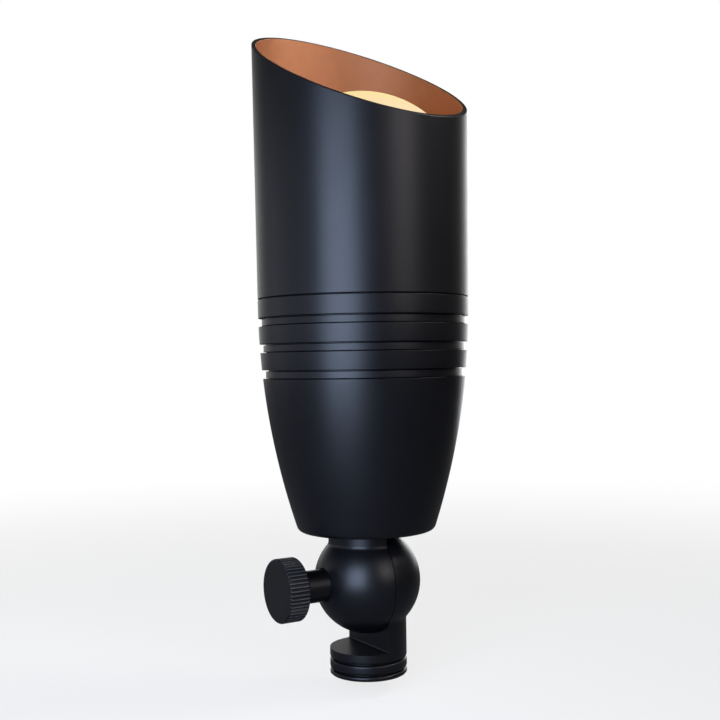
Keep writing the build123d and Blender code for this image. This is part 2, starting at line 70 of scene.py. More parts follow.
def towards(azimuth):
    """Level direction from the object to a viewer or a light at that azimuth."""
    return Vector((sin(azimuth), -cos(azimuth), 0))


image_right = Vector((cos(VIEW_AZIMUTH), sin(VIEW_AZIMUTH), 0))
camera_place = towards(VIEW_AZIMUTH) * CAMERA_DISTANCE + image_right * CAMERA_SIDESTEP
camera_place.z = CAMERA_HEIGHT
level_turn = Matrix.Rotation(VIEW_AZIMUTH, 3, "Z") @ Matrix.Rotation(pi / 2, 3, "X")
camera_turn = level_turn @ Matrix.Rotation(CAMERA_ROLL, 3, "Z")
bpy.ops.object.camera_add(location=camera_place, rotation=camera_turn.to_euler())
camera = bpy.context.object
camera.data.lens = CAMERA_LENS
camera.data.sensor_width = SENSOR_WIDTH
camera.data.clip_start = CLIP_START
bpy.context.scene.camera = camera
bpy.context.scene.view_settings.view_transform = "Standard"
print("camera at", [round(v, 3) for v in camera.location])

# %% [markdown]
# ## Building node trees
# In the node editor one adds a node, sets its options and draws lines to its inputs. These helpers do the
# same from code. An input is given either a plain value or the output of another node, so that a tree
# reads in the order in which one would lay it out by hand.

# %% Helpers for nodes
VALUE_FIRST, VALUE_SECOND, VALUE_MIXED = 2, 3, 0
COLOR_FIRST, COLOR_SECOND, COLOR_MIXED = 6, 7, 2


def join(tree, source, socket):
    """Give an input a plain value, or a link from another node's output."""
    if isinstance(source, bpy.types.NodeSocket):
        tree.links.new(source, socket)
    else:
        socket.default_value = source


def new_node(tree, kind, inputs=None, **settings):
    """Add a node, with its options by name and its inputs by name or number."""
    node = tree.nodes.new(kind)
    for name, value in settings.items():
        setattr(node, name, value)
    for name, source in (inputs or {}).items():
        join(tree, source, node.inputs[name])
    return node


def worked_out(tree, operation, *sources):
    """The result of a Math node."""
    return new_node(tree, "ShaderNodeMath", dict(enumerate(sources)), operation=operation).outputs[0]


def eased(tree, value, start, end, lowest=0.0):
    """A value that goes smoothly from lowest at start to 1 at end."""
    inputs = {"Value": value, "From Min": start, "From Max": end, "To Min": lowest}
    ramp = new_node(tree, "ShaderNodeMapRange", inputs, interpolation_type="SMOOTHSTEP")
    return ramp.outputs["Result"]


def mixed_values(tree, share, first, second):
    """Two values mixed by a share, which gives the first at 0 and the second at 1."""
    inputs = {0: share, VALUE_FIRST: first, VALUE_SECOND: second}
    return new_node(tree, "ShaderNodeMix", inputs, data_type="FLOAT").outputs[VALUE_MIXED]


def mixed_colors(tree, share, first, second):
    """Two colours mixed in the same way."""
    inputs = {0: share, COLOR_FIRST: first, COLOR_SECOND: second}
    return new_node(tree, "ShaderNodeMix", inputs, data_type="RGBA").outputs[COLOR_MIXED]


print("node helpers ready")

# %% [markdown]
# ## Paper and room
# A satin black object is drawn by what it reflects. The paper behind it is white to the camera, and metal
# sees it as a white patch behind the object, with a dim room around it. All other rays get a low, even
# light. The Light Path node tells these rays apart.

# %% World
PAPER_EDGE, PAPER_MIDDLE = cos(radians(56)), cos(radians(24))
PAPER_LOW, PAPER_HIGH = sin(radians(7)), sin(radians(18))
ROOM_LEVEL, AMBIENT_LEVEL, PAPER_LEVEL = 0.10, 0.06, 1.0
WHITE = (1, 1, 1, 1)

world = bpy.data.worlds.new("Studio")
bpy.context.scene.world = world
world.use_nodes = True
sky = world.node_tree
direction = new_node(sky, "ShaderNodeTexCoord").outputs["Generated"]
to_paper = {0: direction, 1: -towards(VIEW_AZIMUTH)}
facing = new_node(sky, "ShaderNodeVectorMath", to_paper, operation="DOT_PRODUCT").outputs["Value"]
upward = new_node(sky, "ShaderNodeSeparateXYZ", {0: direction}).outputs["Z"]
paper_sides = eased(sky, facing, PAPER_EDGE, PAPER_MIDDLE, ROOM_LEVEL)
paper_top = eased(sky, upward, PAPER_HIGH, PAPER_LOW, ROOM_LEVEL)
paper = worked_out(sky, "MINIMUM", paper_sides, paper_top)
rays = new_node(sky, "ShaderNodeLightPath").outputs
mirror_rays = worked_out(sky, "MAXIMUM", rays["Is Glossy Ray"], rays["Is Transmission Ray"])
seen_by_metal = mixed_values(sky, mirror_rays, AMBIENT_LEVEL, paper)
seen_by_camera = mixed_values(sky, rays["Is Camera Ray"], seen_by_metal, PAPER_LEVEL)
background = sky.nodes["Background"]
join(sky, WHITE, background.inputs["Color"])
join(sky, seen_by_camera, background.inputs["Strength"])
print("world: white paper behind, room level", ROOM_LEVEL)

# %% [markdown]
# ## Softboxes
# The key softbox, left of the camera, makes the soft bluish band on the tube. A broad one farther to the
# left draws the left edge, and a weak fill to the right makes the faint second band. One high on the
# right shines into the mouth of the hood, through a grid that narrows its spread, and one overhead lights
# the top of the base. The last three stand behind and give the back some shape. Sizes are in metres.

# %% Softboxes
OBJECT_MIDDLE, HOOD_MOUTH = 0.13, 0.24
OPEN_SPREAD = 180


def softbox(name, azimuth, distance, height, width, tall, power, tint, spread=OPEN_SPREAD,
            aim_height=OBJECT_MIDDLE):
    """A rectangular lamp at an azimuth round the object, aimed at a height on its axis."""
    place = towards(radians(azimuth)) * distance
    place.z = height
    aim = (Vector((0, 0, aim_height)) - place).to_track_quat("-Z", "Y").to_euler()
    bpy.ops.object.light_add(type="AREA", location=place, rotation=aim)
    lamp = bpy.context.object
    lamp.name = name
    lamp.data.shape = "RECTANGLE"
    lamp.data.size = width
    lamp.data.size_y = tall
    lamp.data.energy = power
    lamp.data.color = tint
    lamp.data.spread = radians(spread)
    lamp.visible_camera = False


softboxes = {
    "key_softbox": dict(azimuth=-53.5, distance=0.38, height=0.137, width=0.24, tall=0.27,
                        power=2.35, tint=(0.58, 0.72, 1.0)),
    "left_softbox": dict(azimuth=-114.0, distance=0.80, height=0.17, width=0.90, tall=0.34,
                         power=0.85, tint=(0.80, 0.84, 1.0)),
    "fill_softbox": dict(azimuth=13.0, distance=0.85, height=0.45, width=0.42, tall=0.55,
                         power=0.35, tint=(1.0, 0.93, 0.95), spread=60),
    "right_softbox": dict(azimuth=66.0, distance=0.60, height=0.72, width=0.50, tall=0.30,
                          power=0.36, tint=(1.0, 0.97, 0.93), spread=34, aim_height=HOOD_MOUTH),
    "top_softbox": dict(azimuth=-22.0, distance=0.50, height=0.85, width=0.45, tall=0.30,
                        power=0.22, tint=(1.0, 0.98, 0.95), spread=100),
    "back_softbox": dict(azimuth=165.0, distance=0.95, height=0.30, width=0.40, tall=0.40,
                         power=0.3, tint=(1.0, 1.0, 1.0)),
    "rear_softbox": dict(azimuth=-152.0, distance=0.80, height=0.17, width=0.60, tall=0.36,
                         power=0.14, tint=(0.95, 0.97, 1.0)),
    "side_softbox": dict(azimuth=128.0, distance=0.85, height=0.20, width=0.40, tall=0.42,
                         power=1.5, tint=(0.96, 0.98, 1.0)),
}
for softbox_name, softbox_values in softboxes.items():
    softbox(softbox_name, **softbox_values)
print("lamps", list(softboxes))

# %% [markdown]
# ## Floor
# A plain pale floor keeps the object's shadow. The camera mostly sees it as white paper, and towards its
# edge it fades to the white of the background, so that no horizon shows. The light is held by the thread
# in its base and never stands on the ground: with the head tilted flat, its side reaches a little lower
# than the base. The floor lies just below that.

# %% Floor
FLOOR_REACH, FLOOR_VERTICES = 2.5, 64
FLOOR_DROP = 0.006
FLOOR_FADE_START, FLOOR_FADE_END = 0.15, 0.75
FLOOR_PAPER_SHARE = 0.75
FLOOR_TONE, FLOOR_TONE_MIRRORED = (0.75, 0.75, 0.75, 1), (0.22, 0.22, 0.22, 1)
FLOOR_ROUGHNESS = 0.9


def new_finish(name):
    """A new material, with its node tree and its shader."""
    finish = bpy.data.materials.new(name)
    finish.use_nodes = True
    return finish, finish.node_tree, finish.node_tree.nodes["Principled BSDF"]


bpy.ops.object.select_all(action="DESELECT")
bpy.ops.mesh.primitive_circle_add(
    vertices=FLOOR_VERTICES, radius=FLOOR_REACH, fill_type="NGON", location=(0, 0, -FLOOR_DROP)
)
bpy.ops.object.transform_apply(location=True)
floor = bpy.context.object
floor.name = floor.data.name = "studio_floor"
floor_finish, floor_tree, floor_shader = new_finish("floor_paper")
floor_place = new_node(floor_tree, "ShaderNodeTexCoord").outputs["Object"]
floor_away = new_node(floor_tree, "ShaderNodeVectorMath", {0: floor_place}, operation="LENGTH")
floor_fade = eased(floor_tree, floor_away.outputs["Value"], FLOOR_FADE_START, FLOOR_FADE_END,
                   FLOOR_PAPER_SHARE)
floor_seen = new_node(floor_tree, "ShaderNodeLightPath").outputs["Is Camera Ray"]
floor_tone = mixed_colors(floor_tree, floor_seen, FLOOR_TONE_MIRRORED, FLOOR_TONE)
join(floor_tree, floor_tone, floor_shader.inputs["Base Color"])
join(floor_tree, FLOOR_ROUGHNESS, floor_shader.inputs["Roughness"])
floor_share = worked_out(floor_tree, "MULTIPLY", floor_fade, floor_seen)
floor_glow = new_node(floor_tree, "ShaderNodeEmission").outputs[0]
floor_layers = {0: floor_share, 1: floor_shader.outputs[0], 2: floor_glow}
floor_mix = new_node(floor_tree, "ShaderNodeMixShader", floor_layers).outputs[0]
join(floor_tree, floor_mix, floor_tree.nodes["Material Output"].inputs["Surface"])
floor.data.materials.append(floor_finish)
print("floor", FLOOR_REACH, "m in radius")

# %% [markdown]
# ## Surface grain
# No real surface is one flat colour. Powder coat has a fine orange peel and slightly uneven gloss, and
# castings and plastics have a faint mottle. One node group makes all of these: it varies a tone, a
# roughness and a height with noise at sizes given in millimetres. It reads Object coordinates, so that
# the grain stays put when a piece moves.

# %% Node group: surface grain
MOTTLE_DETAIL, PEEL_DETAIL = 3.0, 2.0


def new_group(name, inputs, outputs):
    """A node group with inputs by default and outputs by kind, and the sockets at its two ends."""
    group = bpy.data.node_groups.new(name, "ShaderNodeTree")
    for label, value in inputs.items():
        kind = "NodeSocketColor" if isinstance(value, tuple) else "NodeSocketFloat"
        group.interface.new_socket(label, in_out="INPUT", socket_type=kind).default_value = value
    for label, kind in outputs.items():
        group.interface.new_socket(label, in_out="OUTPUT", socket_type=kind)
    return group, new_node(group, "NodeGroupInput").outputs, new_node(group, "NodeGroupOutput").inputs


def spread_about(tree, noise, middle, spread):
    """middle + (2 * noise - 1) * spread."""
    inputs = {"Value": noise, "To Min": -1.0, "To Max": 1.0}
    centred = new_node(tree, "ShaderNodeMapRange", inputs, clamp=False).outputs["Result"]
    return worked_out(tree, "MULTIPLY_ADD", centred, spread, middle)


def noise_by_size(tree, place, size_mm, detail):
    """Noise at a place, with its scale worked out from a size in millimetres."""
    inputs = {"Vector": place, "Scale": worked_out(tree, "DIVIDE", 1 / MM, size_mm), "Detail": detail}
    return new_node(tree, "ShaderNodeTexNoise", inputs).outputs["Fac"]


grain_inputs = {
    "Tone": (0.5, 0.5, 0.5, 1),
    "Tone Spread": 0.15,
    "Roughness": 0.5,
    "Roughness Spread": 0.06,
    "Mottle mm": 9.0,
    "Grain mm": 0.4,
}
grain_outputs = {"Color": "NodeSocketColor", "Roughness": "NodeSocketFloat", "Height": "NodeSocketFloat"}
grain_group, grain_in, grain_out = new_group("Surface grain", grain_inputs, grain_outputs)
grain_place = new_node(grain_group, "ShaderNodeTexCoord").outputs["Object"]
mottle = noise_by_size(grain_group, grain_place, grain_in["Mottle mm"], MOTTLE_DETAIL)
peel = noise_by_size(grain_group, grain_place, grain_in["Grain mm"], PEEL_DETAIL)
tone_gain = spread_about(grain_group, mottle, 1.0, grain_in["Tone Spread"])
tone_parts = {0: grain_in["Tone"], "Scale": tone_gain}
tone_scaled = new_node(grain_group, "ShaderNodeVectorMath", tone_parts, operation="SCALE").outputs[0]
grain_rough = spread_about(grain_group, mottle, grain_in["Roughness"], grain_in["Roughness Spread"])
join(grain_group, tone_scaled, grain_out["Color"])
join(grain_group, grain_rough, grain_out["Roughness"])
join(grain_group, peel, grain_out["Height"])
print("node group", grain_group.name, "with", len(grain_group.nodes), "nodes")

# %% [markdown]
# ## Turned marks
# Lathe-turned and spun metal carries fine rings about its axis. This group reads the distance from the Z
# axis and makes rings of slightly different roughness and height. It is used on the bare metal parts,
# such as the socket plate, its screws and the cap of the lamp.

# %% Node group: turned marks
ACROSS_Z = (1, 1, 0)


def distance_from_axis(tree, place, across=ACROSS_Z):
    """Distance of a place from the axis that across leaves out."""
    flat = new_node(tree, "ShaderNodeVectorMath", {0: place, 1: across}, operation="MULTIPLY").outputs[0]
    return new_node(tree, "ShaderNodeVectorMath", {0: flat}, operation="LENGTH").outputs["Value"]


rings_inputs = {"Ring mm": 0.25, "Roughness": 0.3, "Roughness Spread": 0.08}
rings_outputs = {"Roughness": "NodeSocketFloat", "Height": "NodeSocketFloat"}
rings_group, rings_in, rings_out = new_group("Turned marks", rings_inputs, rings_outputs)
rings_place = new_node(rings_group, "ShaderNodeTexCoord").outputs["Object"]
rings_parts = {
    "W": distance_from_axis(rings_group, rings_place),
    "Scale": worked_out(rings_group, "DIVIDE", 1 / MM, rings_in["Ring mm"]),
}
rings = new_node(rings_group, "ShaderNodeTexNoise", rings_parts, noise_dimensions="1D").outputs["Fac"]
rings_rough = spread_about(rings_group, rings, rings_in["Roughness"], rings_in["Roughness Spread"])
join(rings_group, rings_rough, rings_out["Roughness"])
join(rings_group, rings, rings_out["Height"])
print("node group", rings_group.name, "with", len(rings_group.nodes), "nodes")

# %% [markdown]
# ## Making finishes
# A finish is a material with one shader, fed by these groups. The helpers place a group with the values of
# one finish, turn its height into a fine relief with a Bump node, and mix two grains by a mask where one
# piece carries two finishes. What is the same all over a piece is set on the shader itself.

# %% Helpers for finishes
def place_grain(tree, tone, tone_spread, roughness, roughness_spread, mottle_mm, grain_mm):
    """Put the grain group into a material with its own values, and give its outputs."""
    inputs = {
        "Tone": (*tone, 1),
        "Tone Spread": tone_spread,
        "Roughness": roughness,
        "Roughness Spread": roughness_spread,
        "Mottle mm": mottle_mm,
        "Grain mm": grain_mm,
    }
    return new_node(tree, "ShaderNodeGroup", inputs, node_tree=grain_group).outputs


def bump_from(tree, height, strength, depth_mm):
    """Bump from a height, joined to the shader's Normal."""
    inputs = {"Strength": strength, "Distance": depth_mm * MM, "Height": height}
    bump = new_node(tree, "ShaderNodeBump", inputs)
    join(tree, bump.outputs["Normal"], tree.nodes["Principled BSDF"].inputs["Normal"])


def mix_by_mask(tree, mask, first, second):
    """Colour and roughness of the shader, from the first grain to the second where the mask is 1."""
    shader = tree.nodes["Principled BSDF"]
    color = mixed_colors(tree, mask, first["Color"], second["Color"])
    roughness = mixed_values(tree, mask, first["Roughness"], second["Roughness"])
    join(tree, color, shader.inputs["Base Color"])
    join(tree, roughness, shader.inputs["Roughness"])


def grained_finish(name, tone, roughness, metallic=0.0, tone_spread=0.12, roughness_spread=0.05,
                   mottle_mm=7.0, grain_mm=0.4, strength=0.25, depth_mm=0.02, specular=0.5):
    """A finish whose colour, gloss and relief come from the grain group."""
    finish, tree, shader = new_finish(name)
    grain = place_grain(tree, tone, tone_spread, roughness, roughness_spread, mottle_mm, grain_mm)
    join(tree, metallic, shader.inputs["Metallic"])
    join(tree, specular, shader.inputs["Specular IOR Level"])
    join(tree, grain["Color"], shader.inputs["Base Color"])
    join(tree, grain["Roughness"], shader.inputs["Roughness"])
    bump_from(tree, grain["Height"], strength, depth_mm)
    return finish


def turned_finish(name, tone, roughness, ring_mm, tone_spread=0.06, strength=0.2, depth_mm=0.01):
    """A bare metal finish with turned rings over a faint mottle."""
    finish = grained_finish(name, tone, roughness, metallic=1.0, tone_spread=tone_spread)
    tree = finish.node_tree
    inputs = {"Ring mm": ring_mm, "Roughness": roughness}
    marks = new_node(tree, "ShaderNodeGroup", inputs, node_tree=rings_group).outputs
    join(tree, marks["Roughness"], tree.nodes["Principled BSDF"].inputs["Roughness"])
    bump_from(tree, marks["Height"], strength, depth_mm)
    return finish


def wear_finish(piece, finish):
    """Give a piece one finish."""
    piece.data.materials.clear()
    piece.data.materials.append(finish)


print("finish helpers ready")

# %% [markdown]
# ## Satin black coat
# The castings are powder coated: almost black with a blue cast, a low sheen and a very fine orange peel.
# The reflection is kept weaker than that of bare plastic, because matting agents in the powder scatter it.

# %% Satin black coat
COAT_TONE = (0.0022, 0.0022, 0.0032)
COAT_ROUGHNESS = 0.37
COAT_SPECULAR = 0.3
COAT_BUMP, COAT_BUMP_MM = 0.12, 0.006
COAT_GRAIN = dict(tone_spread=0.25, roughness_spread=0.03, mottle_mm=14.0, grain_mm=0.35)
satin_black = grained_finish("satin_black_coat", COAT_TONE, COAT_ROUGHNESS, strength=COAT_BUMP,
                             depth_mm=COAT_BUMP_MM, specular=COAT_SPECULAR, **COAT_GRAIN)
print("finish", satin_black.name)

# %% [markdown]
# ## Turning a piece
# Most of this light is turned on a lathe or cast with round symmetry. By hand one would add a circle,
# extrude its edge, scale the new ring, and go on ring by ring along the profile. The helper below does
# just that with the same operators, from corners given as radius and height in millimetres. A radius of 0
# closes the piece at a pole, and an open ring at the end is closed by filling it.

# %% Helper: turn a profile
TURN_STEPS = 160
MERGE_DISTANCE = 0.002 * MM


def spaced(first, last, count):
    """count + 1 values from first to last."""
    return [first + (last - first) * k / count for k in range(count + 1)]


def arc(centre, radius, first, last, count):
    """Profile corners on an arc, by its centre, radius and end angles."""
    return [(centre[0] + radius * cos(a), centre[1] + radius * sin(a)) for a in spaced(first, last, count)]


def next_ring(old, new):
    """Extrude the selected ring from one profile corner to the next."""
    rise = (new[1] - old[1]) * MM
    gain = new[0] / old[0]
    bpy.ops.mesh.extrude_region_move(TRANSFORM_OT_translate={"value": (0, 0, rise)})
    bpy.ops.transform.resize(value=(gain, gain, 1), center_override=(0, 0, 0))


def close_mesh():
    """Merge what lies together, close open rings and turn all faces outwards."""
    bpy.ops.mesh.select_all(action="SELECT")
    bpy.ops.mesh.remove_doubles(threshold=MERGE_DISTANCE)
    bpy.ops.mesh.fill_holes(sides=0)
    bpy.ops.mesh.select_all(action="SELECT")
    bpy.ops.mesh.normals_make_consistent(inside=False)


def leave_edit_mode():
    """Go back to object mode with nothing selected."""
    if bpy.context.mode == "EDIT_MESH":
        bpy.ops.object.mode_set(mode="OBJECT")
    bpy.ops.object.select_all(action="DESELECT")


def turn(name, corners, looped=False, steps=TURN_STEPS):
    """Turn a profile about the Z axis and stay in edit mode. looped joins its last corner to its first."""
    leave_edit_mode()
    radius, height = corners[0]
    bpy.ops.mesh.primitive_circle_add(vertices=steps, radius=radius * MM, location=(0, 0, height * MM))
    piece = bpy.context.object
    piece.name = piece.data.name = name
    bpy.ops.object.transform_apply(location=True, rotation=True, scale=True)
    bpy.ops.object.mode_set(mode="EDIT")
    bpy.ops.mesh.select_mode(type="EDGE")
    bpy.ops.mesh.select_all(action="SELECT")
    path = corners + corners[:1] if looped else corners
    for old, new in zip(path, path[1:]):
        next_ring(old, new)
    close_mesh()
    return piece


print("turning helpers ready,", TURN_STEPS, "steps round")

# %% [markdown]
# ## Finishing a piece
# Cast and coated edges are never sharp, so the sharp edges of a piece are selected and bevelled. A finished
# piece gets smooth shading, with normals weighted by the size of the faces, so that flat faces stay flat
# next to their bevels. It is then hung on its body in place of the CAD part that it stands for.

# %% Helpers for pieces
SHARP = radians(24)
EDGE_SEGMENTS, EVEN_ROUND = 2, 0.5
SMOOTH_ANGLE = radians(50)


def soften_edges(width_mm, segments=EDGE_SEGMENTS, sharp=SHARP):
    """Round the sharp edges of the piece in edit mode."""
    bpy.ops.mesh.select_mode(type="EDGE")
    bpy.ops.mesh.select_all(action="DESELECT")
    bpy.ops.mesh.edges_select_sharp(sharpness=sharp)
    bpy.ops.mesh.bevel(
        offset=width_mm * MM, segments=segments, profile=EVEN_ROUND, affect="EDGES", clamp_overlap=True
    )


def only(piece):
    """Leave edit mode, and select this piece alone."""
    leave_edit_mode()
    piece.select_set(True)
    bpy.context.view_layer.objects.active = piece


def finish_piece(piece, body, nodes, finish):
    """Smooth the shading of a piece, give it its finish and hang it on its body."""
    only(piece)
    bpy.ops.object.shade_smooth_by_angle(angle=SMOOTH_ANGLE, keep_sharp_edges=False)
    bpy.ops.object.modifier_add(type="WEIGHTED_NORMAL")
    piece.modifiers[-1].keep_sharp = True
    bpy.ops.object.modifier_apply(modifier=piece.modifiers[-1].name)
    wear_finish(piece, finish)
    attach(piece, body)
    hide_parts(*nodes)
    print(piece.name, "rides on", body, "with", len(piece.data.polygons), "faces")


print("piece helpers ready")

# %% [markdown]
# ## Flank of the housing
# The housing is one tapered casting with a curved flank and a rounded foot. The flank is an arc that ends
# upright at the seam, so its corners are read off that arc, and the foot is a smaller arc that touches it.

# %% Flank of the housing
HEAD_RADIUS = 38.1
SEAM = 134.8
HOUSING_BOTTOM = 51.6
FOOT_RADIUS = 24.65
FOOT_FILLET, FOOT_STEPS = 2.2, 7
flank_drop = SEAM - HOUSING_BOTTOM
flank_inset = HEAD_RADIUS - FOOT_RADIUS
flank_radius = (flank_drop**2 + flank_inset**2) / (2 * flank_inset)
flank_centre = HEAD_RADIUS - flank_radius


def flank(height, inset=0.0):
    """Radius of the housing's curved flank at a height, or of a line inside it."""
    return flank_centre + sqrt((flank_radius - inset) ** 2 - (SEAM - height) ** 2)


foot_height = HOUSING_BOTTOM + FOOT_FILLET
foot_middle = (flank(foot_height, FOOT_FILLET), foot_height)
foot_lean = atan2(foot_height - SEAM, foot_middle[0] - flank_centre)
foot_arc = arc(foot_middle, FOOT_FILLET, -pi / 2, foot_lean, FOOT_STEPS)
print("flank bends on a radius of", round(flank_radius, 1), "mm")

# %% [markdown]
# ## Housing
# Three square cooling grooves and a thin wall with a ledge for the socket plate complete the casting. All
# are part of one turned profile. A narrow relief in both corners of each groove, as a turning tool leaves
# it, gives the dark lines along its edges. One bevel takes the edge off every corner, as powder coat does.

# %% Housing
HOUSING_WALL, HOUSING_BORE = 3.8, 35.25
HOUSING_FLOOR, LEDGE = 57.6, 118.4
NIPPLE_HOLE = 10.65
GROOVE_DROP, GROOVE_WIDTH, GROOVE_LAND, GROOVE_DEPTH = 6.4, 3.1, 6.2, 1.25
GROOVES = 3
RELIEF_DEPTH, RELIEF_HIGH, RELIEF_LOW = 1.0, 0.46, 0.28
FLANK_STEPS, LAND_STEPS = 22, 3
HOUSING_EDGE = 0.12
groove_tops = [SEAM - GROOVE_DROP - k * (GROOVE_WIDTH + GROOVE_LAND) for k in range(GROOVES)]
lowest_groove = groove_tops[-1] - GROOVE_WIDTH
housing_profile = [(NIPPLE_HOLE, HOUSING_BOTTOM)] + foot_arc
housing_profile += [(flank(z), z) for z in spaced(foot_arc[-1][1], lowest_groove, FLANK_STEPS)[1:]]
for top in reversed(groove_tops):
    bottom = top - GROOVE_WIDTH
    groove_floor = flank(top - GROOVE_WIDTH / 2) - GROOVE_DEPTH
    relief_floor = groove_floor - RELIEF_DEPTH
    land_top = top + GROOVE_LAND if top < groove_tops[0] else SEAM
    housing_profile += [(relief_floor, bottom), (relief_floor, bottom + RELIEF_LOW)]
    housing_profile += [(groove_floor, bottom + RELIEF_LOW), (groove_floor, top - RELIEF_HIGH)]
    housing_profile += [(relief_floor, top - RELIEF_HIGH), (relief_floor, top)]
    housing_profile += [(flank(z), z) for z in spaced(top, land_top, LAND_STEPS)]
housing_profile += [(HOUSING_BORE, SEAM), (HOUSING_BORE, LEDGE)]
housing_profile += [(flank(z, HOUSING_WALL), z) for z in spaced(LEDGE, HOUSING_FLOOR, FLANK_STEPS)]
housing_profile += [(NIPPLE_HOLE, HOUSING_FLOOR)]
housing_piece = turn("housing_casting", housing_profile, looped=True)
soften_edges(HOUSING_EDGE)
finish_piece(housing_piece, "head", ["housing"], satin_black)

# %% [markdown]
# ## Hood
# The hood is a slightly drafted tube on a spigot that plugs into the housing. It is turned as a full tube,
# longer than needed, and then cut on a slant with the bisect tool. The cut leaves an outer and an inner
# loop, which are bridged into the rim, and the rim gets its small round. A narrow groove above the seam
# makes the shadow line where hood and housing meet.

# %% Hood
SPIGOT_BORE, SPIGOT_RADIUS, SPIGOT_END = 32.4, 35.1, 121.8
O_RING_SEAT, O_RING_LOW, O_RING_HIGH = 33.6, 127.1, 129.5
HOOD_WALL = 1.6
HOOD_GROWTH = tan(radians(0.5))
HOOD_SHOULDER = 2.0
SEAM_LINE, SEAM_LINE_DEPTH = 0.44, 0.9
MOUTH_HEIGHT = 216.5
MOUTH_SLOPE = tan(radians(29.8))
MOUTH_BEARING = radians(93.2)
HOOD_STEPS = 224
RIM_ROUND = 0.2
blank_top = MOUTH_HEIGHT + HEAD_RADIUS
blank_growth = (blank_top - SEAM) * HOOD_GROWTH
tube_inner = HEAD_RADIUS - HOOD_WALL
cone_top = SEAM + HOOD_SHOULDER + tube_inner - SPIGOT_BORE
hood_profile = [
    (SPIGOT_BORE, SPIGOT_END),
    (SPIGOT_RADIUS, SPIGOT_END),
    (SPIGOT_RADIUS, O_RING_LOW),
    (O_RING_SEAT, O_RING_LOW),
    (O_RING_SEAT, O_RING_HIGH),
    (SPIGOT_RADIUS, O_RING_HIGH),
    (SPIGOT_RADIUS, SEAM),
    (HEAD_RADIUS - SEAM_LINE_DEPTH, SEAM),
    (HEAD_RADIUS - SEAM_LINE_DEPTH, SEAM + SEAM_LINE),
    (HEAD_RADIUS, SEAM + SEAM_LINE),
    (HEAD_RADIUS + blank_growth, blank_top),
    (tube_inner + blank_growth, blank_top),
    (tube_inner + (cone_top - SEAM) * HOOD_GROWTH, cone_top),
    (SPIGOT_BORE, SEAM + HOOD_SHOULDER),
]
hood_piece = turn("hood_tube", hood_profile, looped=True, steps=HOOD_STEPS)
mouth_lean = (-MOUTH_SLOPE * cos(MOUTH_BEARING), -MOUTH_SLOPE * sin(MOUTH_BEARING), 1)
mouth_normal = Vector(mouth_lean).normalized()
bpy.ops.mesh.select_all(action="SELECT")
bpy.ops.mesh.bisect(plane_co=(0, 0, MOUTH_HEIGHT * MM), plane_no=mouth_normal, clear_outer=True)
bpy.ops.mesh.bridge_edge_loops()
close_mesh()
soften_edges(RIM_ROUND)
bpy.ops.object.mode_set(mode="OBJECT")
print("hood rim at", round(max(v.co.z for v in hood_piece.data.vertices) / MM, 1), "mm")

# %% [markdown]
# ## Copper inside the hood
# The inside of the hood has a copper-coloured metallic paint, and the rim and outside are black. One
# material does both, so it needs a mask: the distance from the axis, set against the drafted line of the
# tube, tells the inner wall from the outer one.

# %% Copper mask
COPPER_MARGIN, COPPER_START = 0.12, 0.5
hood_finish, hood_tree, hood_shader = new_finish("black_hood_copper_inside")
hood_place = new_node(hood_tree, "ShaderNodeTexCoord").outputs["Object"]
hood_height = new_node(hood_tree, "ShaderNodeSeparateXYZ", {0: hood_place}).outputs["Z"]
hood_radius = distance_from_axis(hood_tree, hood_place)
wall_start = (tube_inner + COPPER_MARGIN - SEAM * HOOD_GROWTH) * MM
wall_line = worked_out(hood_tree, "MULTIPLY_ADD", hood_height, HOOD_GROWTH, wall_start)
is_inside = worked_out(hood_tree, "LESS_THAN", hood_radius, wall_line)
above_seam = worked_out(hood_tree, "GREATER_THAN", hood_height, (SEAM + COPPER_START) * MM)
copper_mask = worked_out(hood_tree, "MULTIPLY", is_inside, above_seam)
print("copper inside the hood from", SEAM + COPPER_START, "mm up")

# %% [markdown]
# ## Hood finish
# The mask mixes colour, roughness, metalness and a clear coat, which the copper has and the black hasn't.
# The paint holds metal flakes in a clear binder, so it is made half metallic.

# %% Hood finish
COPPER_TONE = (0.43, 0.155, 0.054)
COPPER_ROUGHNESS = 0.58
COPPER_METAL = 0.50
COPPER_COAT, COPPER_COAT_ROUGHNESS = 0.5, 0.5
COPPER_GRAIN = dict(tone_spread=0.12, roughness_spread=0.06, mottle_mm=4.0, grain_mm=0.30)
hood_coat = place_grain(hood_tree, COAT_TONE, roughness=COAT_ROUGHNESS, **COAT_GRAIN)
hood_copper = place_grain(hood_tree, COPPER_TONE, roughness=COPPER_ROUGHNESS, **COPPER_GRAIN)
mix_by_mask(hood_tree, copper_mask, hood_coat, hood_copper)
copper_metal = worked_out(hood_tree, "MULTIPLY", copper_mask, COPPER_METAL)
copper_coat = worked_out(hood_tree, "MULTIPLY", copper_mask, COPPER_COAT)
join(hood_tree, copper_metal, hood_shader.inputs["Metallic"])
join(hood_tree, copper_coat, hood_shader.inputs["Coat Weight"])
join(hood_tree, COPPER_COAT_ROUGHNESS, hood_shader.inputs["Coat Roughness"])
join(hood_tree, COAT_SPECULAR, hood_shader.inputs["Specular IOR Level"])
bump_from(hood_tree, hood_coat["Height"], COAT_BUMP, COAT_BUMP_MM)
finish_piece(hood_piece, "hood", ["glare_hood"], hood_finish)

# %% [markdown]
# ## Ball outline
# Both halves of the knuckle share one outline: a ball that flows into a round neck through a small concave
# fillet. The fillet touches the ball where a circle of its radius rolls on both, which fixes its centre.

# %% Ball outline
PIVOT = 33.4
BALL, BALL_STEPS = 19.2, 40
STEM = 13.9
NECK_FILLET, NECK_STEPS = 2.3, 6
fillet_out = STEM + NECK_FILLET
fillet_rise = sqrt((BALL + NECK_FILLET) ** 2 - fillet_out**2)
ball_touch = atan2(fillet_rise, fillet_out)


